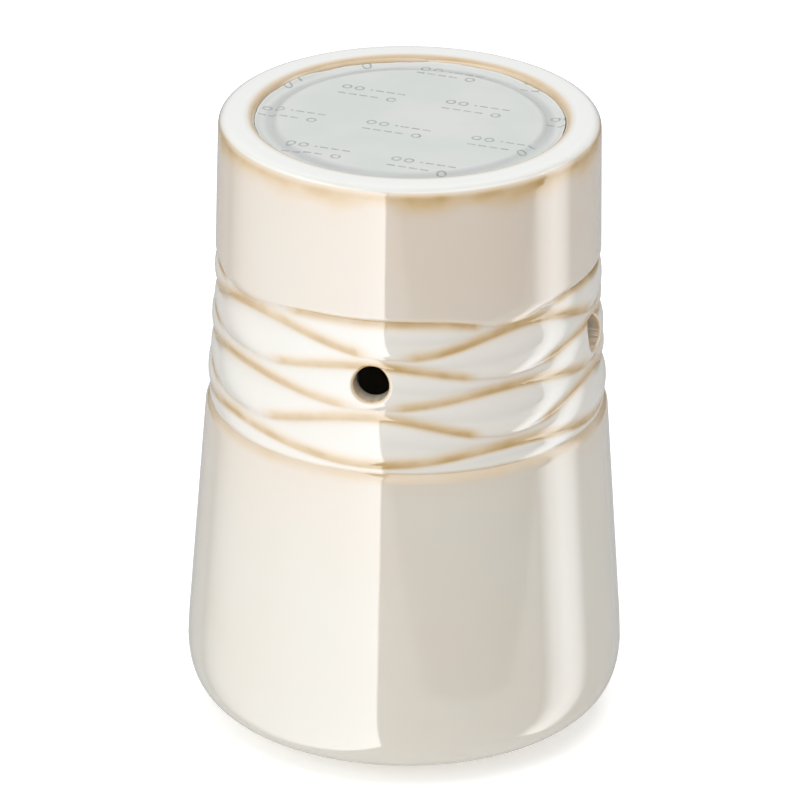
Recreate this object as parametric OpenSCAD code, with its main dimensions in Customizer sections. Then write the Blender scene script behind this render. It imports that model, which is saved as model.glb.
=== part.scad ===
// Electric fragrance warmer: a glazed stoneware body that carries a heated plate in its top rim.
// Origin at the centre of the footprint on the table, +Z up, front vent towards -Y, switch towards +Y.

/* [Ceramic body] */
// Widest radius of the body
body_r = 50; // [45:0.5:56]
// Height of the rim above the table
body_h = 145.6; // [135:0.2:156]
// Height at which the body is widest
belly_z = 18.5; // [14:0.5:24]
// Outer radius of the rim
rim_r = 43; // [41:0.5:45]
// Outer radius at the top of the wave band
band_top_r = 43.6; // [42:0.1:46]
// Wall thickness
wall = 4.5; // [3.5:0.1:6]
// Radius on the outer edge of the rim
rim_round = 2.2; // [1:0.1:2.6]
// Radius of the opening that the plate sits in
opening_r = 34.9; // [34.5:0.1:36]

/* [Wave band] */
// Lower edge of the band
band_z0 = 77.6; // [70:0.2:82]
// Upper edge of the band
band_z1 = 113.6; // [108:0.2:118]
// Depth of the creases in the band
crease = 0.8; // [0.4:0.1:1.2]
// Radius of an air vent
vent_r = 4.1; // [3:0.1:5]
// Height of the vents
vent_z = 98.7; // [95:0.2:104]
// How far the hand-set waves drift round the body, in degrees
drift = 8.6; // [0:0.2:10]

/* [Heating plate] */
// Outer radius of the plate
plate_r = 34.4; // [33:0.1:34.6]
// Radius of the raised middle of the plate
plateau_r = 29.6; // [28.5:0.1:30]
// Depth of the raised middle below the rim
plateau_drop = 1.4; // [1:0.1:2]
// Thickness of the pressed aluminium
plate_t = 1.2; // [1:0.1:1.5]

/* [Heater pack] */
// Radius of the mica sheets and of the pad
pack_r = 27; // [26:0.5:27]
// Thickness of the insulation pad
pad_t = 4; // [3:0.5:4]
// Radius at which the studs stand
stud_pcr = 22; // [21:0.5:22]
// Distance of each tie rod from the middle
rod_x = 20; // [19:0.5:20]

/* [Switch] */
// Height of the middle of the switch
switch_z = 35; // [34:0.5:36]
// How far the rocker turns from off to on, in degrees
rocker_travel = 18; // [14:1:18]
// How far the contact blade turns, in degrees
blade_travel = 12; // [10:1:12]

/* [Hidden] */
$fn = 96;
e = 0.01;

// outline of the body
foot_z = 0.8;
foot_r = 34;
foot_lip = 2.6;
heel_r = foot_r + 0.8;
belly_power = 2.8;
// the plain wall runs straight from the belly through this radius at this height
wall_point_r = 45.35;
wall_point_z = 82.9;
band_bottom_r = body_r - (body_r - wall_point_r) * (band_z0 - belly_z) / (wall_point_z - belly_z);
band_edge = 0.8;

// inside of the body
base_recess_r = 31;
base_recess_z = 3.4;
base_open_r = 27;
floor_z = 6.5;
ledge_z = 141.2;
ledge_t = 4;
ledge_r = 31;
ledge_root_z = 131;

// rear niche for the switch and the gland
niche_w = 19;
niche_z0 = 8.5;
niche_z1 = 47.5;
niche_y = 45.2;
niche_wall = 4;
niche_corner = 3;
// thickened wall behind the niche
rear_pad_x = 14;
rear_pad_top = 52;
gland_z = 16;
gland_hole_r = 4.6;
cutout_w = 13.2;
cutout_h = 19.2;

// heater stack, each level worked down from the plate
plateau_z = body_h - plateau_drop;
flange_z = plateau_z - 0.6;
plate_low_z = plateau_z - plate_t;
film_t = 0.1;
film_r = plate_r - 0.4;
mica_t = 0.4;
former_t = 0.6;
former_x = 16;
former_y = 14;
ribbon_w = 1.4;
ribbon_pitch = 2.6;
turns = 11;
ribbon_t = 0.2;
upper_mica_z = plate_low_z - mica_t;
former_z = upper_mica_z - ribbon_t - former_t;
lower_mica_z = former_z - ribbon_t - mica_t;
pad_z = lower_mica_z - pad_t;
cover_t = 0.8;
cover_z = pad_z - cover_t;
spacer_h = 4;
bracket_t = 1.5;
bracket_z = cover_z - spacer_h - bracket_t;
washer_t = 0.6;
stud_r = 1.5;
stud_hole_r = 1.75;
stud_nut_h = 2.4;
stud_nut_z = bracket_z - washer_t - stud_nut_h;
stud_low_z = stud_nut_z - 1;
rod_r = 2;
rod_hole_r = 2.15;
rod_low_z = 2;
rod_top_z = cover_z - 0.4;
rod_nut_h = 3.2;
rod_washer_t = 0.6;
boss_seat_z = 6.2;

// base
cover_low_z = 0.9;
base_t = 2;
base_top_z = cover_low_z + base_t;
foot_pcr = 23.5;
foot_pad_r = 3.6;
clamp_x = 6;
clamp_y = 20;

// switch levels, measured outwards from the rocker's pivot
pivot_y = 42.6;
rocker_w = 10.4;
rocker_half = 7.6;
face_out = 4.3;
rocker_mid = face_out / cos(rocker_travel / 2);
rocker_end = (face_out + rocker_half * sin(rocker_travel / 2)) / cos(rocker_travel / 2);
pin_r = 1.2;
guide_bore_r = 1.6;
plunger_tip = 9.55;
fulcrum_y = pivot_y - 10.2;
nose_r = 0.3;
switch_back_y = 30.4;
rocker_rest = -rocker_travel / 2;
blade_rest = blade_travel / 2;

// internal leads: radius over the insulation, and the points that each one runs through
lead_r = 0.9;
fuse_y = 7;
fuse_z = bracket_z - 3.4;
clip_screw_y = fuse_y + 7.5;
block_z = 9;
block_h = 10;
pole_x = 4.6;
pole_z = block_z + 5.4;
FUSE_SUPPLY = [[0, 19.8, 29], [0, 18.4, 29], [1, 15.6, 29.6], [5, 11, 33], [11, 7, 44], [15, 8, 60], [17, 11, 85], [18, 14, 108],
  [18.5, 14, 120], [18, 10, fuse_z - 1], [15.5, fuse_y, fuse_z], [12.3, fuse_y, fuse_z]];
ELEMENT_LIVE = [[-12.3, fuse_y, fuse_z], [-15, fuse_y - 0.5, fuse_z], [-14, 1.5, 125.5], [-6, -1, 125],
  [-2.2, 0, 129], [-2, 0, 134], [-2, 0, 141]];
ELEMENT_NEUTRAL = [[2, 0, 141], [2, 0, 134], [2, -0.6, 129], [1, -6, 122], [-6, -12, 112], [-9, -14, 100],
  [-9, -15, 80], [-7, -15, 50], [-5, -13, 28], [-pole_x, -11, 17], [-pole_x, -7, 14.4], [-pole_x, -3, 14.4]];
SWITCH_FEED = [[0, 19.8, 35], [0, 18.4, 35], [3, 15.6, 34], [11, 10, 28], [13, 2, 22], [12, -6, 17.5], [8, -10.5, 14.8],
  [pole_x, -8, 14.4], [pole_x, -3, 14.4]];

// how far the waves have turned at an azimuth: a full wave is 90 degrees of wave angle
function wave_angle(a) = a + drift * (1 - cos(a));
// azimuth, measured anticlockwise from the front, at which the wave angle has a given value
function at_wave(w, a = 0, n = 12) = n == 0 ? a : at_wave(w, w - drift * (1 - cos(a)), n - 1);
function belly_point(t) =
  [heel_r + (body_r - heel_r) * pow(sin(t), 2 / belly_power),
   foot_lip + (belly_z - foot_lip) * (1 - pow(cos(t), 2 / belly_power))];

// general shapes
module ring(r_out, r_in, z, h) {
  translate([0, 0, z]) difference() {
    cylinder(r = r_out, h = h);
    translate([0, 0, -1]) cylinder(r = r_in, h = h + 2);
  }
}
module at_studs() {
  for (a = [90, 210, 330]) rotate([0, 0, a]) translate([stud_pcr, 0, 0]) children();
}
module at_rods() {
  for (s = [-1, 1]) translate([s * rod_x, 0, 0]) children();
}
module stud_holes(z, h) {
  at_studs() translate([0, 0, z - 1]) cylinder(r = stud_hole_r, h = h + 2, $fn = 32);
}
module lead_holes(z, h) {
  for (s = [-1, 1]) translate([2 * s, 0, z - 1]) cylinder(r = lead_r + 0.1, h = h + 2, $fn = 32);
}
module hex_nut(across_flats, bore_r, h) {
  difference() {
    cylinder(r = across_flats / sqrt(3), h = h, $fn = 6);
    translate([0, 0, -1]) cylinder(r = bore_r, h = h + 2, $fn = 32);
  }
}
module pan_screw(r, head_r, head_h, length) {
  difference() {
    union() {
      cylinder(r = head_r, h = head_h, $fn = 32);
      translate([0, 0, -length]) cylinder(r = r, h = length + e, $fn = 32);
    }
    for (a = [0, 90]) rotate([0, 0, a]) translate([-0.25, -head_r * 0.6, head_h * 0.45])
      cube([0.5, head_r * 1.2, head_h]);
  }
}
module rounded_slab(w, h, r, y0, y1) {
  translate([0, y1, 0]) rotate([90, 0, 0]) linear_extrude(y1 - y0) union() {
    square([w - 2 * r, h], center = true);
    square([w, h - 2 * r], center = true);
    for (x = [-1, 1], z = [-1, 1]) translate([x * (w / 2 - r), z * (h / 2 - r)]) circle(r = r, $fn = 32);
  }
}

// a lead swept through its points, with a ring at every point
function unit(v) = v / norm(v);
function heading(p, i) = unit(p[min(i + 1, len(p) - 1)] - p[max(i - 1, 0)]);
function side_of(d) = unit(cross(d, abs(d.y) < 0.9 ? [0, 1, 0] : [1, 0, 0]));
function eased(p, k) = [for (i = [0 : len(p) - 2], j = [0 : k - 1])
  let (a = p[max(i - 1, 0)], b = p[i], c = p[i + 1], d = p[min(i + 2, len(p) - 1)], t = j / k)
  0.5 * (2 * b + (c - a) * t + (2 * a - 5 * b + 4 * c - d) * t * t + (3 * b - a - 3 * c + d) * t * t * t)];
function turned(p, i, u) = i == 0 ? u : let (v = turned(p, i - 1, u), d = heading(p, i)) unit(v - (v * d) * d);
module lead(points) {
  sides = 8;
  p = concat(eased(points, 2), [points[len(points) - 1]]);
  first = side_of(heading(p, 0));
  rings = [for (i = [0 : len(p) - 1])
    let (d = heading(p, i), u = turned(p, i, first), v = cross(d, u))
    for (k = [0 : sides - 1]) p[i] + lead_r * (cos(k * 360 / sides) * u + sin(k * 360 / sides) * v)];
  last = (len(p) - 1) * sides;
  polyhedron(points = rings, convexity = 4, faces = concat(
    [for (i = [0 : len(p) - 2], k = [0 : sides - 1])
      [i * sides + k, i * sides + (k + 1) % sides, (i + 1) * sides + (k + 1) % sides]],
    [for (i = [0 : len(p) - 2], k = [0 : sides - 1])
      [i * sides + k, (i + 1) * sides + (k + 1) % sides, (i + 1) * sides + k]],
    [[for (k = [sides - 1 : -1 : 0]) k], [for (k = [0 : sides - 1]) last + k]]));
}

// glazed stoneware
module body_outline() {
  polygon(concat(
    [[0, foot_z], [foot_r - 0.6, foot_z], [foot_r, foot_z + 0.6], [foot_r, foot_lip], [heel_r, foot_lip]],
    [for (t = [9 : 9 : 81]) belly_point(t)],
    [[body_r, belly_z], [band_bottom_r, band_z0], [band_bottom_r - crease / 2, band_z0 + band_edge],
     [band_top_r - crease / 2, band_z1 - band_edge], [band_top_r, band_z1], [rim_r, body_h - rim_round]],
    [for (t = [15 : 15 : 75]) [rim_r - rim_round * (1 - cos(t)), body_h - rim_round * (1 - sin(t))]],
    [[rim_r - rim_round, body_h], [0, body_h]]));
}
module body_cavity() {
  rotate_extrude() polygon([[0, -1], [base_recess_r, -1], [base_recess_r, base_recess_z],
    [base_open_r, base_recess_z], [base_open_r, floor_z], [heel_r + 1, floor_z], [body_r - wall - 2.5, 10],
    [body_r - wall, belly_z + 2], [band_bottom_r - crease - wall + 0.6, band_z0],
    [band_top_r - crease - wall + 0.6, band_z1], [rim_r - wall, ledge_root_z], [ledge_r, ledge_z - ledge_t],
    [ledge_r, ledge_z], [opening_r, ledge_z], [opening_r, body_h - 1.8], [opening_r + 0.5, body_h - 0.6],
    [opening_r + 1.6, body_h], [opening_r + 1.6, body_h + 1], [0, body_h + 1]]);
}
module rear_pad() {
  intersection() {
    rotate_extrude() polygon([[0, floor_z - 1], [heel_r + 3, floor_z - 1], [body_r - wall / 2 - 2.5, 10],
      [body_r - wall / 2, belly_z], [body_r - wall / 2 - 2, rear_pad_top], [0, rear_pad_top]]);
    translate([-rear_pad_x, niche_y - niche_wall, floor_z - 1])
      cube([2 * rear_pad_x, 10, rear_pad_top - floor_z]);
  }
}
module ceramic_body() {
  color([0.93, 0.91, 0.87]) difference() {
    union() {
      difference() {
        rotate_extrude() body_outline();
        body_cavity();
      }
      rear_pad();
    }
    for (k = [0 : 3]) rotate([0, 0, at_wave(90 * k) - 90]) translate([30, 0, vent_z])
      rotate([0, 90, 0]) cylinder(r = vent_r, h = 25);
    translate([0, 0, (niche_z0 + niche_z1) / 2])
      rounded_slab(niche_w, niche_z1 - niche_z0, niche_corner, niche_y, 60);
    translate([-cutout_w / 2, 35, switch_z - cutout_h / 2]) cube([cutout_w, 20, cutout_h]);
    translate([0, 35, gland_z]) rotate([-90, 0, 0]) cylinder(r = gland_hole_r, h = 20);
  }
}

// heating plate and what is bonded or welded to it
module heating_plate() {
  color([0.8, 0.81, 0.82]) rotate_extrude() polygon([[0, plate_low_z], [plateau_r - 0.3, plate_low_z],
    [plateau_r + 0.9, flange_z - plate_t], [plate_r, flange_z - plate_t], [plate_r, flange_z],
    [plateau_r + 1.3, flange_z], [plateau_r, plateau_z], [0, plateau_z]]);
}
module plate_film() {
  color([0.84, 0.86, 0.84]) rotate_extrude() polygon([[0, plateau_z], [plateau_r, plateau_z],
    [plateau_r + 1.3, flange_z], [film_r, flange_z], [film_r, flange_z + film_t],
    [plateau_r + 1.35, flange_z + film_t], [plateau_r + 0.05, plateau_z + film_t], [0, plateau_z + film_t]]);
}
module plate_seal_ring() {
  color([0.2, 0.2, 0.2]) ring(plate_r - 0.1, ledge_r + 0.5, ledge_z, flange_z - plate_t - ledge_z);
}
module plate_studs() {
  color([0.72, 0.73, 0.75]) at_studs() translate([0, 0, stud_low_z])
    cylinder(r = stud_r, h = plate_low_z - stud_low_z, $fn = 32);
}
module mica_sheet(z) {
  color([0.78, 0.7, 0.52]) difference() {
    translate([0, 0, z]) cylinder(r = pack_r, h = mica_t);
    stud_holes(z, mica_t);
  }
}
module upper_mica_sheet() {
  mica_sheet(upper_mica_z);
}
module lower_mica_sheet() {
  mica_sheet(lower_mica_z);
}

// element: a ribbon wound round a mica card
module mica_former() {
  color([0.74, 0.66, 0.48]) translate([-former_x, -former_y, former_z])
    cube([2 * former_x, 2 * former_y, former_t]);
}
module resistance_winding() {
  color([0.5, 0.47, 0.42]) for (k = [0 : turns - 1])
    translate([(k - (turns - 1) / 2) * ribbon_pitch - ribbon_w / 2, 0, 0]) difference() {
      translate([0, -former_y - ribbon_t, former_z - ribbon_t])
        cube([ribbon_w, 2 * (former_y + ribbon_t), former_t + 2 * ribbon_t]);
      translate([-1, -former_y, former_z]) cube([ribbon_w + 2, 2 * former_y, former_t]);
    }
}
module insulation_pad() {
  color([0.93, 0.93, 0.9]) difference() {
    translate([0, 0, pad_z]) cylinder(r = pack_r, h = pad_t);
    stud_holes(pad_z, pad_t);
    lead_holes(pad_z, pad_t);
  }
}
module heater_cover() {
  color([0.66, 0.67, 0.69]) difference() {
    rotate_extrude() polygon([[0, cover_z], [pack_r + 1, cover_z], [pack_r + 1.4, cover_z + 0.4],
      [pack_r + 1.4, cover_z + 5], [pack_r + 0.6, cover_z + 5], [pack_r + 0.6, pad_z], [0, pad_z]]);
    stud_holes(cover_z, cover_t);
    translate([0, 0, cover_z - 1]) cylinder(r = 4, h = 3);
  }
}

// what hangs below the heater
module stud_spacers() {
  color([0.75, 0.76, 0.78]) at_studs() translate([0, 0, cover_z - spacer_h]) difference() {
    cylinder(r = 3, h = spacer_h, $fn = 32);
    translate([0, 0, -1]) cylinder(r = stud_hole_r, h = spacer_h + 2, $fn = 32);
  }
}
module tie_bracket() {
  color([0.7, 0.71, 0.73]) translate([0, 0, bracket_z]) difference() {
    union() {
      cylinder(r = 13, h = bracket_t);
      translate([-rod_x - 5, -5, 0]) cube([2 * rod_x + 10, 10, bracket_t]);
      at_studs() cylinder(r = 4.5, h = bracket_t, $fn = 48);
      for (a = [90, 210, 330]) rotate([0, 0, a]) translate([0, -4.5, 0]) cube([stud_pcr, 9, bracket_t]);
    }
    at_studs() translate([0, 0, -1]) cylinder(r = stud_hole_r, h = 4, $fn = 32);
    at_rods() translate([0, 0, -1]) cylinder(r = rod_hole_r, h = 4, $fn = 32);
    translate([0, 0, -1]) cylinder(r = 5, h = 4);
    translate([0, clip_screw_y, -1]) cylinder(r = 1.25, h = 4, $fn = 32);
  }
}
module stud_washers() {
  color([0.75, 0.76, 0.78]) at_studs() translate([0, 0, bracket_z - washer_t]) difference() {
    cylinder(r = 3.4, h = washer_t, $fn = 32);
    translate([0, 0, -1]) cylinder(r = stud_hole_r, h = 3, $fn = 32);
  }
}
module stud_nuts() {
  color([0.75, 0.76, 0.78]) at_studs() translate([0, 0, stud_nut_z]) hex_nut(5.5, stud_r, stud_nut_h);
}
module tie_rods() {
  color([0.72, 0.73, 0.75]) at_rods() translate([0, 0, rod_low_z])
    cylinder(r = rod_r, h = rod_top_z - rod_low_z, $fn = 32);
}
module tie_rod_nuts() {
  color([0.75, 0.76, 0.78]) at_rods() {
    translate([0, 0, bracket_z + bracket_t]) hex_nut(7, rod_r, rod_nut_h);
    translate([0, 0, bracket_z - rod_washer_t - rod_nut_h]) hex_nut(7, rod_r, rod_nut_h);
    translate([0, 0, boss_seat_z - rod_washer_t - rod_nut_h]) hex_nut(7, rod_r, rod_nut_h);
  }
}
module tie_rod_washers() {
  color([0.78, 0.79, 0.8]) at_rods() for (z = [bracket_z - rod_washer_t, boss_seat_z - rod_washer_t])
    ring(4.4, rod_hole_r, z, rod_washer_t);
}

// thermal fuse under the bracket
module along_x(r, length) {
  rotate([0, 90, 0]) translate([0, 0, -length / 2]) cylinder(r = r, h = length, $fn = 32);
}
module thermal_fuse() {
  color([0.85, 0.78, 0.55]) translate([0, fuse_y, fuse_z]) {
    along_x(2, 11);
    along_x(0.5, 24.6);
  }
}
module fuse_sleeve() {
  color([0.9, 0.88, 0.84]) translate([0, fuse_y, fuse_z]) difference() {
    along_x(2.7, 18);
    along_x(2.05, 20);
  }
}
module fuse_clip() {
  color([0.75, 0.76, 0.78]) difference() {
    union() {
      translate([0, fuse_y, fuse_z]) along_x(3.4, 6);
      translate([-3, fuse_y, fuse_z]) cube([6, 3.4, 3.4]);
      translate([-3, fuse_y + 2.7, bracket_z - 0.7]) cube([6, 7.4, 0.7]);
    }
    translate([0, fuse_y, fuse_z]) along_x(2.7, 8);
    translate([-4, fuse_y - 2.7, fuse_z]) cube([8, 5.4, 5]);
    translate([-4, fuse_y - 5, fuse_z + 1]) cube([8, 5, 5]);
    translate([0, clip_screw_y, bracket_z - 2]) cylinder(r = 1.3, h = 3, $fn = 32);
  }
}
module fuse_clip_screw() {
  color([0.78, 0.79, 0.8]) translate([0, clip_screw_y, bracket_z - 0.7]) mirror([0, 0, 1])
    pan_screw(1.25, 2.3, 1.4, bracket_t + 0.7);
}

// leads
module fuse_supply_lead() {
  color([0.85, 0.84, 0.8]) lead(FUSE_SUPPLY);
}
module element_live_lead() {
  color([0.85, 0.84, 0.8]) lead(ELEMENT_LIVE);
}
module element_neutral_lead() {
  color([0.85, 0.84, 0.8]) lead(ELEMENT_NEUTRAL);
}
module switch_feed_lead() {
  color([0.45, 0.3, 0.2]) lead(SWITCH_FEED);
}

// terminal block on the base cover
module terminal_block() {
  color([0.92, 0.9, 0.84]) difference() {
    translate([-8, -6, block_z]) cube([16, 12, block_h]);
    for (s = [-1, 1]) {
      translate([s * pole_x, -7, pole_z]) rotate([-90, 0, 0]) cylinder(r = 1.4, h = 14, $fn = 32);
      for (y = [-3.4, 3.4]) translate([s * pole_x, y, pole_z]) cylinder(r = 1.55, h = 6, $fn = 32);
    }
    cylinder(r = 1.2, h = 30, $fn = 32);
    translate([0, 0, block_z + 5]) cylinder(r = 2.6, h = 10, $fn = 32);
  }
}
module terminal_screws() {
  color([0.85, 0.72, 0.4]) for (s = [-1, 1], y = [-3.4, 3.4])
    translate([s * pole_x, y, pole_z + 1.4]) difference() {
      cylinder(r = 1.5, h = 2.8, $fn = 32);
      translate([-0.25, -2, 2]) cube([0.5, 4, 2]);
    }
}
module terminal_block_screw() {
  color([0.78, 0.79, 0.8]) translate([0, 0, block_z + 5]) pan_screw(1.05, 2.4, 1.6, 9.5);
}

// base
module base_cover() {
  color([0.18, 0.18, 0.19]) difference() {
    union() {
      translate([0, 0, cover_low_z]) cylinder(r = base_recess_r - 0.4, h = base_t);
      ring(base_open_r - 0.4, base_open_r - 2.2, base_top_z - e, 5);
      at_rods() translate([0, 0, base_top_z - e]) cylinder(r = 6.4, h = 9);
      for (s = [-1, 1]) translate([s * clamp_x, clamp_y, base_top_z - e]) cylinder(r = 2.4, h = 5, $fn = 32);
      translate([0, 0, base_top_z - e]) cylinder(r = 3.6, h = block_z - base_top_z + e, $fn = 48);
    }
    translate([0, 0, block_z - 5]) cylinder(r = 1.05, h = 8, $fn = 32);
    at_rods() {
      translate([0, 0, -1]) cylinder(r = 4.7, h = boss_seat_z + 1);
      translate([0, 0, 0]) cylinder(r = rod_hole_r, h = 20, $fn = 32);
    }
    for (a = [45 : 90 : 315]) rotate([0, 0, a]) translate([foot_pcr, 0, 0]) {
      cylinder(r = foot_pad_r + 0.1, h = cover_low_z + 1);
      translate([0, 0, 0]) cylinder(r = 1.1, h = 20, $fn = 32);
    }
    for (x = [-9 : 3 : 9], s = [-1, 1]) translate([x - 0.9, s * 13.5 - 3.5, -1]) cube([1.8, 7, 8]);
    for (s = [-1, 1]) translate([s * clamp_x, clamp_y, base_top_z]) cylinder(r = 1.05, h = 6, $fn = 32);
  }
}
module base_gasket() {
  color([0.3, 0.3, 0.3]) ring(base_recess_r - 0.6, base_open_r + 0.3, base_top_z, base_recess_z - base_top_z);
}
module rubber_feet() {
  color([0.12, 0.12, 0.12]) for (a = [45 : 90 : 315]) rotate([0, 0, a]) translate([foot_pcr, 0, 0])
    difference() {
      cylinder(r = foot_pad_r, h = cover_low_z + 1);
      translate([0, 0, -1]) cylinder(r = 2.2, h = 1.8, $fn = 32);
      translate([0, 0, -1]) cylinder(r = 1.1, h = 5, $fn = 32);
    }
}
module base_feet_screws() {
  color([0.7, 0.71, 0.73]) for (a = [45 : 90 : 315]) rotate([0, 0, a]) translate([foot_pcr, 0, 0.8])
    mirror([0, 0, 1]) pan_screw(1.05, 2.1, 0.6, 4);
}

// cord entry
module cord_gland() {
  color([0.1, 0.1, 0.1]) translate([0, 0, gland_z]) rotate([-90, 0, 0]) difference() {
    union() {
      translate([0, 0, niche_y]) cylinder(r = 6.2, h = 1.6);
      translate([0, 0, niche_y + 1.5]) cylinder(r = 4.6, h = body_r - niche_y - 1.5);
      translate([0, 0, niche_y - niche_wall - 1.8]) cylinder(r = gland_hole_r - 0.1, h = niche_wall + 2);
      translate([0, 0, niche_y - niche_wall - 1.8]) cylinder(r = 5.6, h = 1.6);
    }
    translate([0, 0, 30]) cylinder(r = 3.1, h = 25);
  }
}
module cord_clamp() {
  color([0.2, 0.2, 0.21]) translate([0, clamp_y, base_top_z + 5]) difference() {
    union() {
      translate([-clamp_x - 2.4, -2.6, 0]) cube([2 * clamp_x + 4.8, 5.2, 1.6]);
      rotate([90, 0, 0]) translate([0, 0, -2.6]) cylinder(r = 4.3, h = 5.2);
    }
    rotate([90, 0, 0]) translate([0, 0, -5]) cylinder(r = 3.2, h = 10);
    translate([-10, -10, -10]) cube([20, 20, 10]);
    for (s = [-1, 1]) translate([s * clamp_x, 0, -1]) cylinder(r = 1.3, h = 20, $fn = 32);
  }
}
module cord_clamp_screws() {
  color([0.78, 0.79, 0.8]) for (s = [-1, 1]) translate([s * clamp_x, clamp_y, base_top_z + 6.6])
    pan_screw(1.05, 1.65, 1.4, 5.6);
}

// rocker switch
module on_switch() {
  translate([0, pivot_y, switch_z]) children();
}
module profile_x(w, points) {
  rotate([90, 0, 90]) translate([0, 0, -w / 2]) linear_extrude(w) polygon(points);
}
module switch_housing() {
  color([0.09, 0.09, 0.1]) difference() {
    union() {
      translate([0, 0, switch_z]) rounded_slab(15, 21, 1, niche_y, niche_y + 1.6);
      translate([-6.45, switch_back_y, switch_z - 9.4]) cube([12.9, niche_y - switch_back_y + 0.1, 18.8]);
      for (s = [-1, 1]) translate([s * 6.45 - 0.3, niche_y - niche_wall - 1.6, switch_z - 3])
        cube([0.6, 1.5, 6]);
    }
    translate([-5.4, switch_back_y + 1.4, switch_z - 8.6]) cube([10.8, 20, 17.2]);
    on_switch() rotate([0, 90, 0]) translate([0, 0, -6.2]) cylinder(r = pin_r + 0.05, h = 12.4, $fn = 32);
    for (z = [0, -6]) translate([-2.45, switch_back_y - 1, switch_z + z - 0.45]) cube([4.9, 3, 0.9]);
  }
}
module switch_rocker() {
  color([0.12, 0.12, 0.13]) on_switch() rotate([rocker_rest, 0, 0]) difference() {
    union() {
      difference() {
        profile_x(rocker_w, [[rocker_end, -rocker_half], [rocker_mid, 0], [rocker_end, rocker_half],
          [1, rocker_half], [1, -rocker_half]]);
        profile_x(rocker_w - 2.4, [[rocker_end - 1.5, 1.2 - rocker_half], [rocker_mid - 1.2, 0],
          [rocker_end - 1.5, rocker_half - 1.2], [0, rocker_half - 1.2], [0, 1.2 - rocker_half]]);
      }
      rotate([90, 0, 0]) cylinder(r = 2.7, h = 6);
      rotate([-90, 0, 0]) cylinder(r = 2.7, h = 3.6);
      rotate([0, 90, 0]) translate([0, 0, -6.1]) cylinder(r = pin_r, h = 12.2, $fn = 32);
      translate([-rocker_w / 2, -1, -1.8]) cube([rocker_w, 3, 3.6]);
    }
    rotate([90, 0, 0]) cylinder(r = guide_bore_r, h = 8, $fn = 32);
  }
}
module switch_plunger() {
  color([0.9, 0.9, 0.88]) on_switch() rotate([rocker_rest, 0, 0]) rotate([90, 0, 0]) {
    translate([0, 0, 3.8]) cylinder(r = 1.5, h = plunger_tip - 5.3, $fn = 32);
    translate([0, 0, plunger_tip - 1.5]) sphere(r = 1.5, $fn = 32);
  }
}
module switch_spring() {
  coils = 5;
  steps = 12;
  low = 0.35;
  high = 3.55;
  path = [for (i = [0 : coils * steps]) let (t = i / (coils * steps))
    [1.1 * cos(i * 360 / steps), 1.1 * sin(i * 360 / steps), low + (high - low) * t]];
  sides = 6;
  rings = [for (i = [0 : len(path) - 1]) let (d = heading(path, i), u = unit([path[i].x, path[i].y, 0]))
    for (k = [0 : sides - 1]) path[i] + 0.2 * (cos(k * 60) * u + sin(k * 60) * cross(d, u))];
  last = (len(path) - 1) * sides;
  color([0.8, 0.8, 0.82]) on_switch() rotate([rocker_rest, 0, 0]) rotate([90, 0, 0])
    polyhedron(points = rings, convexity = 10, faces = concat(
      [for (i = [0 : len(path) - 2], k = [0 : sides - 1])
        [i * sides + k, i * sides + (k + 1) % sides, (i + 1) * sides + (k + 1) % sides]],
      [for (i = [0 : len(path) - 2], k = [0 : sides - 1])
        [i * sides + k, (i + 1) * sides + (k + 1) % sides, (i + 1) * sides + k]],
      [[for (k = [sides - 1 : -1 : 0]) k], [for (k = [0 : sides - 1]) last + k]]));
}
module switch_contact_blade() {
  color([0.83, 0.68, 0.35]) translate([0, fulcrum_y, switch_z]) rotate([blade_rest, 0, 0])
    difference() {
      profile_x(4.4, [[0.55, -6.2], [0, -1], [0, 1], [0.55, 6.2], [1.1, 6.2], [0.5, 0.6], [0.5, -0.6], [1.1, -6.2]]);
      rotate([0, 90, 0]) cylinder(r = nose_r + 0.04, h = 6, center = true, $fn = 32);
    }
}
module switch_terminals() {
  color([0.83, 0.68, 0.35]) {
    translate([-2.4, 22, switch_z - 0.4]) cube([4.8, switch_back_y - 22 + 1.4, 0.8]);
    translate([-2.4, switch_back_y + 1.4, switch_z - nose_r])
      cube([4.8, fulcrum_y - switch_back_y - 1.4, 2 * nose_r]);
    translate([0, fulcrum_y, switch_z]) rotate([0, 90, 0]) cylinder(r = nose_r, h = 4.8, center = true, $fn = 32);
    translate([-2.4, 22, switch_z - 6.4]) cube([4.8, switch_back_y - 22 + 1.4, 0.8]);
    translate([0, switch_back_y + 1.4, switch_z - 6]) rotate([-90, 0, 0]) cylinder(r = 1, h = 0.35, $fn = 32);
  }
}
module lead_connectors() {
  color([0.85, 0.83, 0.78]) for (z = [0, -6]) translate([0, 0, switch_z + z]) difference() {
    union() {
      translate([-3, 22.4, -1.2]) cube([6, 6.4, 2.4]);
      translate([0, 19.9, 0]) rotate([-90, 0, 0]) cylinder(r = 1.4, h = 3, $fn = 32);
    }
    translate([-2.45, 21, -0.42]) cube([4.9, 12, 0.84]);
  }
}

ceramic_body();
heating_plate();
plate_film();
plate_seal_ring();
plate_studs();
upper_mica_sheet();
mica_former();
resistance_winding();
lower_mica_sheet();
insulation_pad();
heater_cover();
stud_spacers();
tie_bracket();
stud_washers();
stud_nuts();
tie_rods();
tie_rod_nuts();
tie_rod_washers();
thermal_fuse();
fuse_sleeve();
fuse_clip();
fuse_clip_screw();
fuse_supply_lead();
element_live_lead();
element_neutral_lead();
switch_feed_lead();
terminal_block();
terminal_screws();
terminal_block_screw();
base_cover();
base_gasket();
rubber_feet();
base_feet_screws();
cord_gland();
cord_clamp();
cord_clamp_screws();
switch_housing();
switch_rocker();
switch_plunger();
switch_spring();
switch_contact_blade();
switch_terminals();
lead_connectors();
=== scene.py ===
import math

import bpy
import numpy as np
from mathutils import Matrix, Vector, noise


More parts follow.
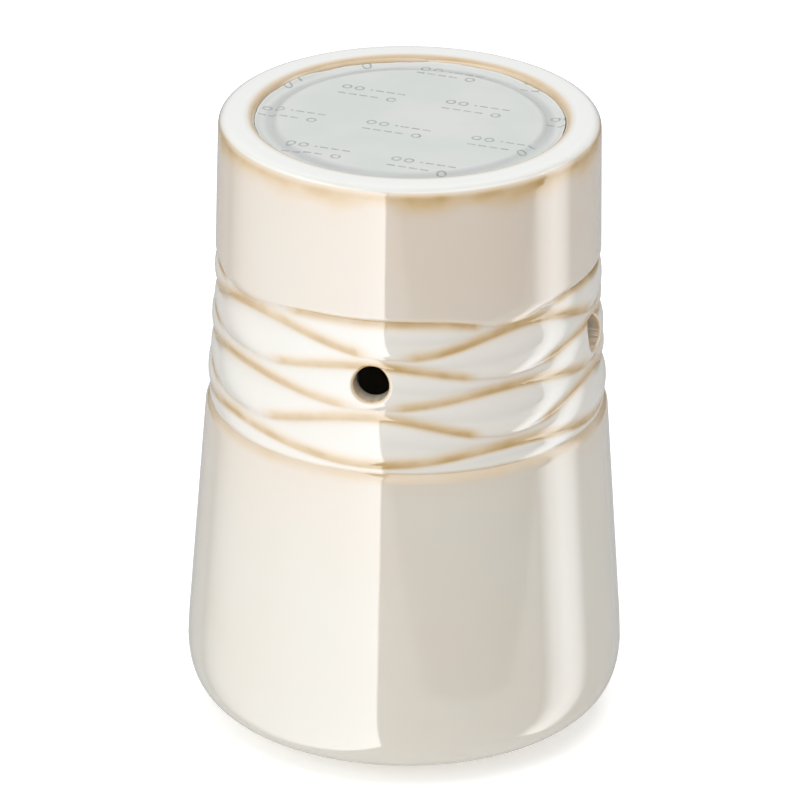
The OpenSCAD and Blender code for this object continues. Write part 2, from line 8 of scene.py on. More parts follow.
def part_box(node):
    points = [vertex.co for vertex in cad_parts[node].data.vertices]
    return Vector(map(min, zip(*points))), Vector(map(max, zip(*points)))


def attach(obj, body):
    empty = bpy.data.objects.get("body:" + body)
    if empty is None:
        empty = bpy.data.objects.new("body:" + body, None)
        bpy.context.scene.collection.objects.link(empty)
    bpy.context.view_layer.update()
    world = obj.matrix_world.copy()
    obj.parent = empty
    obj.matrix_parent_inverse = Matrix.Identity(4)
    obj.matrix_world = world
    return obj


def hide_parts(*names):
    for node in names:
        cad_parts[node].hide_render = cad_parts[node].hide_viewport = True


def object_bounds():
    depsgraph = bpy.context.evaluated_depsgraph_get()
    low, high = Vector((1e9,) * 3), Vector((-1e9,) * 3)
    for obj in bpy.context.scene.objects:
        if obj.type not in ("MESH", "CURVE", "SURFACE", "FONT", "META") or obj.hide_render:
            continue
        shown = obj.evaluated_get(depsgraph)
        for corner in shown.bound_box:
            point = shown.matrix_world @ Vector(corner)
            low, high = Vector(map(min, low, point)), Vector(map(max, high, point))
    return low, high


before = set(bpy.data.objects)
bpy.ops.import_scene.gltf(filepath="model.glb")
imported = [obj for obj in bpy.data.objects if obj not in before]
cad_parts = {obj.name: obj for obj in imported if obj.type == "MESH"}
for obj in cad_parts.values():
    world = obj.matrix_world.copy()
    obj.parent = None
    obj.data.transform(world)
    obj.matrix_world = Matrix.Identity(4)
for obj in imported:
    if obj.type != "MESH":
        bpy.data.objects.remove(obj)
cad_low, cad_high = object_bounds()

# The object stands on a table and is seen from a little above and just right of its front vent, through a long
# lens, so that its sides stay nearly parallel. The camera leans by half a degree.
MM = 0.001
VIEW_AZIMUTH = math.radians(10.4)
VIEW_ELEVATION = math.radians(25.0)
VIEW_DISTANCE = 1.6
VIEW_TARGET = Vector((0, 0, 70 * MM))
AIM_RIGHT = -1.55 * MM
AIM_UP = 4.7 * MM
CAMERA_LEAN = math.radians(0.62)

away = Vector((
    math.sin(VIEW_AZIMUTH) * math.cos(VIEW_ELEVATION),
    -math.cos(VIEW_AZIMUTH) * math.cos(VIEW_ELEVATION),
    math.sin(VIEW_ELEVATION),
))
view_right = Vector((math.cos(VIEW_AZIMUTH), math.sin(VIEW_AZIMUTH), 0))
view_up = away.cross(view_right)
eye = VIEW_TARGET + VIEW_DISTANCE * away
aim = VIEW_TARGET + AIM_RIGHT * view_right + AIM_UP * view_up
turn = (aim - eye).to_track_quat("-Z", "Y").to_matrix() @ Matrix.Rotation(CAMERA_LEAN, 3, "Z")
bpy.ops.object.camera_add(location=eye, rotation=turn.to_euler())
camera = bpy.context.object
camera.name = "camera"
camera.data.lens = 315
camera.data.sensor_width = 36
camera.data.clip_end = 20
bpy.context.scene.camera = camera

# A plain pale table top. Glossy rays pass it by, so that the glaze mirrors the tall soft boxes down to its foot.
bpy.ops.mesh.primitive_plane_add(size=8, location=(0, 0, cad_low.z))
table = bpy.context.object
table.name = "table"
table.visible_glossy = False


def plain_material(name, color, roughness, metallic=0.0):
    """A Principled material with its nodes, ready for a pattern."""
    material = bpy.data.materials.new(name)
    material.use_nodes = True
    shader = material.node_tree.nodes["Principled BSDF"]
    shader.inputs["Base Color"].default_value = (*color, 1)
    shader.inputs["Roughness"].default_value = roughness
    shader.inputs["Metallic"].default_value = metallic
    return material, shader


def connect(material, source, target):
    material.node_tree.links.new(source, target)


def add_node(material, kind, **values):
    """A new node, with its settings and then its sockets given by name."""
    item = material.node_tree.nodes.new(kind)
    for key, value in values.items():
        label = key.replace("_", " ").title()
        if label in item.inputs:
            item.inputs[label].default_value = value
        else:
            setattr(item, key, value)
    return item


table_paint, table_shader = plain_material("table_paint", (0.9, 0.9, 0.9), 0.6)
table_coordinates = add_node(table_paint, "ShaderNodeTexCoord")
table_mottle = add_node(table_paint, "ShaderNodeTexNoise", scale=40.0, detail=3.0)
table_ramp = add_node(table_paint, "ShaderNodeMapRange", to_min=0.55, to_max=0.65)
connect(table_paint, table_coordinates.outputs["Object"], table_mottle.inputs["Vector"])
connect(table_paint, table_mottle.outputs["Fac"], table_ramp.inputs["Value"])
connect(table_paint, table_ramp.outputs["Result"], table_shader.inputs["Roughness"])
table_shader.inputs["Emission Color"].default_value = (1, 1, 1, 1)
table_shader.inputs["Emission Strength"].default_value = 0.36
table.data.materials.append(table_paint)

# Studio light. The pale surround and two lamps give the even light; tall panels that only mirrors show stand at
# the left and right, reach below the table and make the long vertical reflections in the glaze.
surround = bpy.data.worlds.new("surround")
surround.use_nodes = True
surround.node_tree.nodes["Background"].inputs["Color"].default_value = (0.985, 0.99, 1.0, 1)
surround.node_tree.nodes["Background"].inputs["Strength"].default_value = 0.50
bpy.context.scene.world = surround
bpy.context.scene.view_settings.view_transform = "Standard"


def seen_from_camera(azimuth, distance, height):
    """A place round the object; azimuth runs to the right from the camera, in degrees."""
    angle = math.radians(azimuth) + VIEW_AZIMUTH
    return Vector((math.sin(angle) * distance, -math.cos(angle) * distance, height))


def lamp(name, place, width, length, radiance, color):
    """A rectangular lamp that faces the middle of the object and that mirrors don't show."""
    facing = Vector((0, 0, 0.1)) - place
    bpy.ops.object.light_add(type="AREA", location=place, rotation=facing.to_track_quat("-Z", "Y").to_euler())
    light = bpy.context.object
    light.name = name
    light.data.shape = "RECTANGLE"
    light.data.size = width
    light.data.size_y = length
    light.data.energy = radiance * math.pi * width * length
    light.data.color = color
    light.visible_glossy = False
    return light


def mirror_panel(name, azimuths, elevations, radiances, fade=0.01, color=(0.97, 0.985, 1.0)):
    """A glowing panel that only mirrors show; its light goes through the radiances from one side to the other
    and grows from nothing over the lowest share, fade, of its height."""
    distance = 1.2
    first, last = (seen_from_camera(azimuth, distance, 0) for azimuth in azimuths)
    low, high = (math.tan(math.radians(elevation)) * distance for elevation in elevations)
    across = last - first
    bpy.ops.mesh.primitive_plane_add(
        size=1, location=(first + last) / 2 + Vector((0, 0, (low + high) / 2)),
        rotation=(math.pi / 2, 0, math.atan2(across.y, across.x)), scale=(1, 1, 1),
    )
    panel = bpy.context.object
    panel.scale = (across.length, high - low, 1)
    panel.name = name
    panel.visible_camera = panel.visible_diffuse = panel.visible_shadow = panel.visible_transmission = False
    glow = bpy.data.materials.new(name)
    glow.use_nodes = True
    glow.node_tree.nodes.clear()
    place = add_node(glow, "ShaderNodeTexCoord")
    axes = add_node(glow, "ShaderNodeSeparateXYZ")
    level = add_node(glow, "ShaderNodeValToRGB")
    for index, radiance in enumerate(radiances):
        share = index / (len(radiances) - 1)
        stop = level.color_ramp.elements.new(share) if 0 < share < 1 else level.color_ramp.elements[int(share) * -1]
        stop.color = (*(radiance / max(radiances) * channel for channel in color), 1)
    foot = add_node(glow, "ShaderNodeMapRange", from_max=fade, to_max=max(radiances))
    shine = add_node(glow, "ShaderNodeEmission")
    out = add_node(glow, "ShaderNodeOutputMaterial")
    connect(glow, place.outputs["Generated"], axes.inputs[0])
    connect(glow, axes.outputs["X"], level.inputs["Fac"])
    connect(glow, axes.outputs["Y"], foot.inputs["Value"])
    connect(glow, level.outputs["Color"], shine.inputs["Color"])
    connect(glow, foot.outputs["Result"], shine.inputs["Strength"])
    connect(glow, shine.outputs["Emission"], out.inputs["Surface"])
    panel.data.materials.append(glow)


mirror_panel("left_panel", (-134, -13.3), (-50, 40), (0.25, 0.9, 1.9, 2.9, 3.5, 4.2))
mirror_panel("right_panel", (76, 112), (-50, 40), (0.1, 2.1, 2.8, 2.1, 0.5))
mirror_panel("upper_panel", (-12, 87), (-12, 55), (2.2, 1.8, 1.8), fade=0.5)
mirror_panel("back_panel", (130, 230), (-5, 60), (0.8, 0.9, 0.8), fade=0.3)
lamp("left_lamp", seen_from_camera(-48, 1.3, 0.75), 0.9, 0.9, 1.6, (1.0, 0.99, 0.97))
lamp("overhead_lamp", Vector((0, -0.1, 1.5)), 1.4, 1.4, 2.6, (1.0, 1.0, 1.0))

# Ceramic body: slip-cast stoneware, one wall from the foot ring to the rim, with a ledge inside for the plate and
# a flat niche at the back. The mould carves seven wavy creases into the band, and four air vents are cut after.
BODY_R = cad_high.x / MM
RIM_Z = cad_high.z / MM
FOOT_Z = 0.8
FOOT_R = 34.0
FOOT_LIP = 2.6
HEEL_R = 34.8
BELLY_Z = 18.5
BELLY_POWER = 2.8
BAND_Z0 = 77.6
BAND_Z1 = 113.6
BAND_R0 = 45.73
BAND_R1 = 43.6
RIM_R = 43.0
RIM_ROUND = 2.2
OPENING_R = 34.9
OPENING_ROUND = 1.7
LEDGE_Z = 141.2
CREASE = 0.95
# middle height and swing of the five creases between the band's edges, from the lowest up
INNER_CREASES = [(80.5, -1.4), (87.5, 2.9), (94.2, -1.6), (100.6, 2.0), (107.2, -2.6)]
TOP_DIP = 2.7
LAG = 7.0
RUN_OUT = 3.4
LENS_RISE = 0.105
LENS_POWER = 2.2
SHOULDER = 1.3
LOWER_SHOULDER = 2.4
DRIFT = 8.6
VENT_R = 4.1
VENT_Z = 98.7
VENT_LIP = 0.7
VENT_CUT_R = 45
VENT_CUT_DEPTH = 30
NICHE_Y = 45.2
NICHE_WALL = 4.0
NICHE_MIDDLE_Z = 28.0
NICHE_HALF_W = 9.5
NICHE_HALF_H = 19.5
NICHE_CORNER = 3.0
REAR_PAD_X = 14
REAR_PAD_Z0 = 6.0
REAR_PAD_Z1 = 51.2
GLAND_HOLE_R = 4.6
SWITCH_HOLE = (13.2, 19.2)
NICHE_CUT_Y = 45
NICHE_CUT_DEPTH = 20
SPIN_STEPS = 352


def steps(low, high, count):
    return [low + (high - low) * k / count for k in range(1, count + 1)]


def wall_radius(z):
    """Radius of the plain wall at a height, before the band is carved."""
    return np.interp(z, [BELLY_Z, BAND_Z0, BAND_Z1, RIM_Z], [BODY_R, BAND_R0, BAND_R1, RIM_R])


def body_outline():
    """Half section of the wall as (radius, height), outside first, then over the rim and back down inside."""
    points = [(31.0, 3.4), (31.0, FOOT_Z + 0.4), (31.4, FOOT_Z), (FOOT_R - 0.6, FOOT_Z), (FOOT_R - 0.18, 0.98),
              (FOOT_R, FOOT_Z + 0.6), (FOOT_R, FOOT_LIP - 0.3), (FOOT_R + 0.2, FOOT_LIP - 0.05)]
    for degrees in np.linspace(3, 87, 22):
        t = math.radians(degrees)
        points.append((
            HEEL_R + (BODY_R - HEEL_R) * math.sin(t) ** (2 / BELLY_POWER),
            FOOT_LIP + (BELLY_Z - FOOT_LIP) * (1 - math.cos(t) ** (2 / BELLY_POWER)),
        ))
    heights = steps(BELLY_Z, BAND_Z0 - LOWER_SHOULDER - 0.4, 16)
    heights += steps(heights[-1], BAND_Z1 + SHOULDER + 2.4, 124)
    heights += steps(heights[-1], RIM_Z - RIM_ROUND - 0.4, 22)
    points += [(wall_radius(z), z) for z in heights]
    for degrees in np.linspace(0, 90, 10):
        t = math.radians(degrees)
        points.append((RIM_R - RIM_ROUND * (1 - math.cos(t)), RIM_Z - RIM_ROUND * (1 - math.sin(t))))
    crown = OPENING_R + OPENING_ROUND
    points += [(39.8, RIM_Z), (38.7, RIM_Z), (37.6, RIM_Z)]
    for degrees in np.linspace(90, 0, 8):
        t = math.radians(degrees)
        points.append((crown - OPENING_ROUND * math.cos(t), RIM_Z - OPENING_ROUND * (1 - math.sin(t))))
    points += [(OPENING_R, LEDGE_Z + 1.2), (OPENING_R, LEDGE_Z), (33.0, LEDGE_Z), (31.0, LEDGE_Z),
               (31.0, 139.0), (31.0, 137.2), (34.8, 134.0), (38.5, 131.0)]
    for z in (122, 113.6, 104, 95, 86, 77.6, 68, 60, 52.5):
        points.append((float(np.interp(z, [52, 77.6, 113.6, 131], [42.8, 41.0, 38.9, 38.5])), z))
    points += [(42.85, 51.0)] + [(float(np.interp(z, [20.5, 52], [45.5, 42.8])), z) for z in (48, 40, 32, 24, 20.5)]
    points += [(44.4, 14.0), (43.0, 10.0), (39.5, 8.0), (35.8, 6.5), (31.0, 6.5), (27.0, 6.5), (27.0, 3.4)]
    return points


def wave_of(x, y, lag=0.0):
    """Cosine of the wave at a place: 1 at a vent, -1 half way between two. A lag sets it further round."""
    azimuth = np.arctan2(x, -y)
    return np.cos(4 * (azimuth + math.radians(DRIFT) * (1 - np.cos(azimuth)) - math.radians(lag)))


def crease_heights(x, y):
    """Heights of the seven creases, from the band's lower edge up to its upper one."""
    wave = wave_of(x, y)
    top = BAND_Z1 - TOP_DIP * ((1 - wave) / 2) ** 3
    *lower, (middle, swing) = INNER_CREASES
    return [
        np.full_like(wave, BAND_Z0),
        *(low_middle + low_swing * wave for low_middle, low_swing in lower),
        np.minimum(middle + swing * wave_of(x, y, LAG), top - 0.4),
        top,
    ]


def carving(x, y, z):
    """How deep the band is carved at a place, in millimetres."""
    lines = crease_heights(x, y)
    depth = np.zeros_like(z)
    for low, high in zip(lines[:-1], lines[1:]):
        across = (z - low) / (high - low)
        rise = LENS_RISE * (high - low) * (1 - np.abs(2 * across - 1) ** LENS_POWER)
        depth = np.where((across >= 0) & (across <= 1), CREASE - rise, depth)
    # where the top lens runs out, the wall comes down to the next crease in a long soft slope
    run_out = np.clip((RUN_OUT - (lines[6] - lines[5])) / 2.6, 0, 1)
    reach = SHOULDER + RUN_OUT * run_out
    shoulder_under = CREASE * (1 - np.clip((BAND_Z0 - z) / LOWER_SHOULDER, 0, 1)) ** 2
    shoulder_over = CREASE * (1 - np.clip((z - lines[6]) / reach, 0, 1)) ** (2 + 0.4 * run_out)
    return np.where(z > lines[6], shoulder_over, np.where(z < BAND_Z0, shoulder_under, depth))


def vent_azimuth(quarter):
    """Azimuth from the front at which the wave has turned through this many quarters."""
    azimuth = 0.0
    for _ in range(12):
        azimuth = math.radians(90 * quarter) - math.radians(DRIFT) * (1 - math.cos(azimuth))
    return azimuth


VENTS = [vent_azimuth(quarter) for quarter in range(4)]


def vent_distance(x, y, z):
    """Distance along the wall from the nearest vent's axis."""
    radius = np.hypot(x, y)
    azimuth = np.arctan2(x, -y)
    nearest = np.full_like(z, 1e3)
    for vent in VENTS:
        across = radius * np.angle(np.exp(1j * (azimuth - vent)))
        nearest = np.minimum(nearest, np.hypot(across, z - VENT_Z))
    return nearest


def niche_depth_share(x, y, z):
    """1 on the floor of the niche at the back, 0 on the wall round it."""
    across = np.abs(x) - (NICHE_HALF_W - NICHE_CORNER)
    along = np.abs(z - NICHE_MIDDLE_Z) - (NICHE_HALF_H - NICHE_CORNER)
    outside = np.hypot(np.maximum(across, 0), np.maximum(along, 0)) + np.minimum(np.maximum(across, along), 0)
    share = np.clip(NICHE_CORNER + 0.5 - outside, 0, 1)
    return np.where(y > 0, share * share * (3 - 2 * share), 0)


def vertex_array(mesh):
    values = np.empty(len(mesh.vertices) * 3)
    mesh.vertices.foreach_get("co", values)
    return values.reshape(-1, 3) / MM


def store_vertices(mesh, points):
    mesh.vertices.foreach_set("co", (points * MM).ravel())
    mesh.update()


def spun(name, outline, count, closed=True):
    """An outline turned all the way round the object's axis."""
    bpy.ops.object.select_all(action="DESELECT")
    mesh = bpy.data.meshes.new(name)
    corners = [(r * MM, 0, z * MM) for r, z in outline]
    edges = [(k, (k + 1) % len(corners)) for k in range(len(corners) if closed else len(corners) - 1)]
    mesh.from_pydata(corners, edges, [])
    piece = bpy.data.objects.new(name, mesh)
    bpy.context.collection.objects.link(piece)
    bpy.context.view_layer.objects.active = piece
    piece.select_set(True)
    bpy.ops.object.mode_set(mode="EDIT")
    bpy.ops.mesh.select_all(action="SELECT")
    bpy.ops.mesh.spin(steps=count, angle=2 * math.pi, center=(0, 0, 0), axis=(0, 0, 1))
    bpy.ops.mesh.select_all(action="SELECT")
    bpy.ops.mesh.remove_doubles(threshold=1e-6)
    bpy.ops.mesh.normals_make_consistent(inside=False)
    bpy.ops.object.mode_set(mode="OBJECT")
    return piece


def subdivide_where(piece, chosen, cuts):
    """Splits the faces whose corners are all chosen."""
    picked = np.zeros(len(piece.data.polygons), bool)
    for index, face in enumerate(piece.data.polygons):
        picked[index] = all(chosen[v] for v in face.vertices)
    bpy.context.view_layer.objects.active = piece
    bpy.ops.object.mode_set(mode="EDIT")
    bpy.ops.mesh.select_mode(type="FACE")
    bpy.ops.mesh.select_all(action="DESELECT")
    bpy.ops.object.mode_set(mode="OBJECT")
    piece.data.polygons.foreach_set("select", picked)
    bpy.ops.object.mode_set(mode="EDIT")
    bpy.ops.mesh.subdivide(number_cuts=cuts)
    bpy.ops.object.mode_set(mode="OBJECT")


def choose_only(piece):
    """Makes a piece the only one that operators work on."""
    bpy.ops.object.select_all(action="DESELECT")
    piece.select_set(True)
    bpy.context.view_layer.objects.active = piece


def smooth_all_but_edges(piece):
    """Smooth shading, with edges sharper than 40 degrees left crisp."""
    choose_only(piece)
    bpy.ops.object.shade_smooth_by_angle(angle=math.radians(40))


def cut_away(piece, cutter):
    """Takes one closed shape out of another for good."""
    modifier = piece.modifiers.new("cut", "BOOLEAN")
    modifier.operation = "DIFFERENCE"
    modifier.object = cutter
    modifier.solver = "MANIFOLD"
    choose_only(piece)
    bpy.ops.object.modifier_apply(modifier=modifier.name)
    bpy.data.objects.remove(cutter)


body = spun("glazed_body", body_outline(), SPIN_STEPS)
spots = vertex_array(body.data)
x, y, z = spots.T
outer = np.hypot(x, y) > wall_radius(z) - 0.5
subdivide_where(body, outer & (np.abs(vent_distance(x, y, z) - VENT_R - 0.5) < 2.0), 2)
spots = vertex_array(body.data)
x, y, z = spots.T
outer = (np.hypot(x, y) > wall_radius(z) - 0.5) | (z < BELLY_Z) & (np.hypot(x, y) > 44.0) & (y > 0)
niche_zone = outer & (np.abs(x) < 13) & (y > 0) & (z > 4) & (z < 52)
subdivide_where(body, niche_zone, 5)

spots = vertex_array(body.data)
x, y, z = spots.T
radius = np.hypot(x, y)
outer = radius > wall_radius(np.maximum(z, BELLY_Z)) - 0.5
depth = np.where(outer, carving(x, y, z), 0)
into_lip = np.clip(VENT_R + VENT_LIP - vent_distance(x, y, z), 0, VENT_LIP)
depth += np.where(outer, VENT_LIP - np.sqrt(VENT_LIP ** 2 - into_lip ** 2 * 0.96), 0)
radius_new = radius - depth
x, y = x * radius_new / radius, y * radius_new / radius
wall_side = (radius > 43.8) | (z > 30) & (radius > wall_radius(z) - 2.5)
share = np.where(wall_side, niche_depth_share(x, y, z), 0)
y = y + np.minimum(NICHE_Y - y, 0) * share
pad_y = NICHE_Y - NICHE_WALL
inner_pad = (~wall_side) & (np.abs(x) < REAR_PAD_X) & (y > pad_y) & (z > REAR_PAD_Z0) & (z < REAR_PAD_Z1)
y = np.where(inner_pad, pad_y, y)
store_vertices(body.data, np.column_stack([x, y, z]))

for vent in VENTS:
    bpy.ops.mesh.primitive_cylinder_add(
        vertices=72, radius=VENT_R * MM, depth=VENT_CUT_DEPTH * MM,
        location=(math.sin(vent) * VENT_CUT_R * MM, -math.cos(vent) * VENT_CUT_R * MM, VENT_Z * MM),
        rotation=(math.pi / 2, 0, vent),
    )
    cut_away(body, bpy.context.object)
switch_low, switch_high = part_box("switch_housing")
switch_middle = (switch_low + switch_high) / 2
bpy.ops.mesh.primitive_cube_add(
    size=1, location=(0, NICHE_CUT_Y * MM, switch_middle.z),
    scale=(SWITCH_HOLE[0] * MM, NICHE_CUT_DEPTH * MM, SWITCH_HOLE[1] * MM),
)
cut_away(body, bpy.context.object)
gland_low, gland_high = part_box("cord_gland")
bpy.ops.mesh.primitive_cylinder_add(
    vertices=48, radius=GLAND_HOLE_R * MM, depth=NICHE_CUT_DEPTH * MM,
    location=(0, NICHE_CUT_Y * MM, (gland_low.z + gland_high.z) / 2), rotation=(math.pi / 2, 0, 0),
)
cut_away(body, bpy.context.object)

# The glaze is white and runs thin and tan where creases and edges are sharp; painted sheen whitens the swells'
# middles and the rim top, and painted shade darkens the tan on the crease lines.
spots = vertex_array(body.data)
x, y, z = spots.T
radius = np.hypot(x, y)
outer = radius > wall_radius(np.maximum(z, BELLY_Z)) - 2.0
lines = crease_heights(x, y)
break_share = np.zeros_like(z)
# for each crease from the lowest up: room below it at which it starts to show, how soon it is at full strength,
# and how far the tan reaches below and above it
CREASE_TAN = [(0, 6.5, 2.2, 0.5), (0, 0.1, 0.6, 2.3), (3.6, 1.2, 0.8, 2.1), (2.2, 1.0, 0.7, 2.1),
              (3.8, 1.2, 0.8, 1.9), (2.2, 0.8, 0.7, 2.3), (3.2, 1.4, 1.6, 0.7)]
# share of painted sheen: a whiter, cooler tone laid on the middle of each swell
sheen_share = np.zeros_like(z)
for index, (line, (room, rise, under, over)) in enumerate(zip(lines, CREASE_TAN)):
    below = lines[index - 1] if index else line - 4.0
    strength = np.clip((line - below - room) / rise, 0, 1)
    spread = np.where(z < line, under, over)
    break_share = np.maximum(break_share, strength * np.exp(-(np.abs(z - line) / spread) ** 3))
    if index:
        middle = 1 - np.abs(2 * np.clip((z - below) / (line - below), 0, 1) - 1) ** 4
        sheen_share = np.maximum(sheen_share, np.where(outer, 0.52 * middle, 0))
break_share = np.where(outer, break_share, 0)
# the rim's tan edge is broader in some places and thinner in others, where the glaze has run
RIM_TAN_DROP = 2.1
RIM_ZONE = 14
runs = np.array([
    noise.noise(Vector((px * 0.08, py * 0.08, 2.0))) + 0.3 * noise.noise(Vector((px * 0.2, py * 0.2, pz * 0.4)))
    if pz > RIM_Z - RIM_ZONE else 0.0
    for px, py, pz in zip(x, y, z)
])
below_rim = RIM_Z - RIM_TAN_DROP - z
rim_reach = np.where(below_rim > 0, 3.1 + 2.2 * runs, 1.0 + 0.3 * runs)
rim_edge = (1.0 + 0.3 * runs) * np.exp(-(below_rim / rim_reach) ** 2) * (radius > RIM_R - 2.0)
inner_edge = np.clip((OPENING_R + OPENING_ROUND + 0.2 - radius) / 1.2, 0, 1) * (z > LEDGE_Z - 1)
vent_edge = 0.9 * np.exp(-((vent_distance(x, y, z) - VENT_R - 0.15) / 0.45) ** 2) * outer
foot_edge = 0.35 * np.exp(-((z - FOOT_LIP) / 0.8) ** 2) * (radius < HEEL_R + 2)
for share in (rim_edge, 0.8 * inner_edge, vent_edge, foot_edge):
    break_share = np.maximum(break_share, share)
# the flat rim top gets the painted sheen too
on_top = (z > RIM_Z - 0.8) * np.clip((radius - OPENING_R - 1.2) / 0.8, 0, 1)
sheen_share = np.maximum(sheen_share, on_top)
for label, values in (("glaze_break", break_share), ("painted_sheen", sheen_share)):
    attribute = body.data.attributes.new(label, "FLOAT", "POINT")
    attribute.data.foreach_set("value", values)

glaze, glaze_shader = plain_material("pearl_glaze", (0.86, 0.83, 0.78), 0.07)
glaze_shader.inputs["IOR"].default_value = 1.75
glaze_shader.inputs["Coat Weight"].default_value = 0.25
glaze_shader.inputs["Coat Roughness"].default_value = 0.03
glaze_place = add_node(glaze, "ShaderNodeTexCoord")
glaze_break = add_node(glaze, "ShaderNodeAttribute", attribute_name="glaze_break")
glaze_cloud = add_node(glaze, "ShaderNodeTexNoise", scale=26.0, detail=2.0)
glaze_streak = add_node(glaze, "ShaderNodeTexNoise", scale=110.0, detail=2.0)
glaze_white = add_node(glaze, "ShaderNodeValToRGB")
glaze_white.color_ramp.elements[0].position = 0.1
glaze_white.color_ramp.elements[0].color = (0.605, 0.58, 0.515, 1)
glaze_white.color_ramp.elements[1].position = 0.7
glaze_white.color_ramp.elements[1].color = (0.625, 0.545, 0.46, 1)
# tan of the thin glaze; its darkest end, reached right on the crease lines and edges, is painted shade in the
# grooves
glaze_tan_and_crease_shade = add_node(glaze, "ShaderNodeValToRGB")
glaze_tan_and_crease_shade.color_ramp.elements[0].position = 0.1
glaze_tan_and_crease_shade.color_ramp.elements[0].color = (0.62, 0.47, 0.29, 1)
glaze_tan_and_crease_shade.color_ramp.elements[1].position = 0.98
glaze_tan_and_crease_shade.color_ramp.elements[1].color = (0.47, 0.315, 0.13, 1)
glaze_tan_and_crease_shade.color_ramp.elements.new(0.65).color = (0.585, 0.405, 0.19, 1)
# the painted sheen's whiter, cooler tone, mixed over the white glaze
glaze_sheen_share = add_node(glaze, "ShaderNodeAttribute", attribute_name="painted_sheen")
glaze_with_sheen = add_node(glaze, "ShaderNodeMix", data_type="RGBA")
glaze_with_sheen.inputs[7].default_value = (0.74, 0.745, 0.72, 1)
glaze_uneven = add_node(glaze, "ShaderNodeMapRange", from_min=0.3, from_max=0.7, to_min=0.72, to_max=1.05)
glaze_amount = add_node(glaze, "ShaderNodeMath", operation="MULTIPLY")
glaze_mix = add_node(glaze, "ShaderNodeMix", data_type="RGBA")
glaze_bump = add_node(glaze, "ShaderNodeBump", strength=0.12, distance=0.0002)
for texture in (glaze_cloud, glaze_streak):
    connect(glaze, glaze_place.outputs["Object"], texture.inputs["Vector"])
glaze_axes = add_node(glaze, "ShaderNodeSeparateXYZ")
glaze_height = add_node(glaze, "ShaderNodeMapRange", from_min=0.02, from_max=0.14, to_min=-0.35, to_max=0.1)
glaze_warmth = add_node(glaze, "ShaderNodeMath", operation="ADD")
connect(glaze, glaze_place.outputs["Object"], glaze_axes.inputs[0])
connect(glaze, glaze_axes.outputs["Z"], glaze_height.inputs["Value"])
connect(glaze, glaze_height.outputs["Result"], glaze_warmth.inputs[0])
connect(glaze, glaze_cloud.outputs["Fac"], glaze_warmth.inputs[1])
connect(glaze, glaze_warmth.outputs["Value"], glaze_white.inputs["Fac"])
connect(glaze, glaze_streak.outputs["Fac"], glaze_uneven.inputs["Value"])
connect(glaze, glaze_uneven.outputs["Result"], glaze_amount.inputs[0])
connect(glaze, glaze_break.outputs["Fac"], glaze_amount.inputs[1])
connect(glaze, glaze_amount.outputs["Value"], glaze_mix.inputs[0])
connect(glaze, glaze_amount.outputs["Value"], glaze_tan_and_crease_shade.inputs["Fac"])
connect(glaze, glaze_sheen_share.outputs["Fac"], glaze_with_sheen.inputs[0])
connect(glaze, glaze_white.outputs["Color"], glaze_with_sheen.inputs[6])
connect(glaze, glaze_with_sheen.outputs[2], glaze_mix.inputs[6])
connect(glaze, glaze_tan_and_crease_shade.outputs["Color"], glaze_mix.inputs[7])
connect(glaze, glaze_mix.outputs[2], glaze_shader.inputs["Base Color"])
connect(glaze, glaze_cloud.outputs["Fac"], glaze_bump.inputs["Height"])
connect(glaze, glaze_bump.outputs["Normal"], glaze_shader.inputs["Normal"])
body.data.materials.clear()
body.data.materials.append(glaze)
smooth_all_but_edges(body)
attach(body, "warmer")
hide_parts("ceramic_body")


def dress(node_names, material):
    """Gives CAD nodes their finish."""
    for node_name in node_names:
        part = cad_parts[node_name]
        if not part.material_slots:
            part.data.materials.append(material)
        for slot in part.material_slots:
            slot.material = material


def finish_of(name, colors, grain, roughness, metallic=0.0, bump=0.1, stretch=(1, 1, 1), detail=3.0):
    """A finish whose colour drifts between two tones and whose fine grain, in cycles a metre, also dents it."""
    material, shader = plain_material(name, colors[0], roughness, metallic)
    place = add_node(material, "ShaderNodeTexCoord")
    along = add_node(material, "ShaderNodeMapping", scale=stretch)
    texture = add_node(material, "ShaderNodeTexNoise", scale=grain, detail=detail)
    tones = add_node(material, "ShaderNodeValToRGB")
    tones.color_ramp.elements[0].position = 0.3
    tones.color_ramp.elements[0].color = (*colors[0], 1)
    tones.color_ramp.elements[1].position = 0.7
    tones.color_ramp.elements[1].color = (*colors[1], 1)
    dents = add_node(material, "ShaderNodeBump", strength=bump, distance=0.0002)
    connect(material, place.outputs["Object"], along.inputs["Vector"])
    connect(material, along.outputs["Vector"], texture.inputs["Vector"])
    connect(material, texture.outputs["Fac"], tones.inputs["Fac"])
    connect(material, texture.outputs["Fac"], dents.inputs["Height"])
    connect(material, tones.outputs["Color"], shader.inputs["Base Color"])
    connect(material, dents.outputs["Normal"], shader.inputs["Normal"])
    return material


# Heating plate: a deep-drawn aluminium plate with a raised middle; its turned face keeps fine circular marks.
dress(["heating_plate"], finish_of("drawn_aluminium", ((0.62, 0.63, 0.65), (0.74, 0.75, 0.76)), 900.0, 0.32, 1.0,
                                   bump=0.15, stretch=(1, 1, 30)))

# Protective film: a thin grey-green sheet pressed over the plate, printed with a faint repeat of rings and bars.
film, film_shader = plain_material("protective_film", (0.5, 0.52, 0.5), 0.36)
film_shader.inputs["Coat Weight"].default_value = 0.12
film_shader.inputs["Coat Roughness"].default_value = 0.2


def maths(material, operation, *values):
    """One step of arithmetic on numbers or sockets."""
    step = add_node(material, "ShaderNodeMath", operation=operation)
    for socket, value in zip(step.inputs, values):
        if isinstance(value, (int, float)):
            socket.default_value = value
        else:
            connect(material, value, socket)
    return step.outputs["Value"]


def inside(material, value, half_width, soft=0.06):
    """1 where a value lies within half_width of zero, falling to 0 over a soft edge."""
    ramp = add_node(material, "ShaderNodeMapRange", from_min=half_width + soft, from_max=half_width - soft)
    connect(material, maths(material, "ABSOLUTE", value), ramp.inputs["Value"])
    return ramp.outputs["Result"]


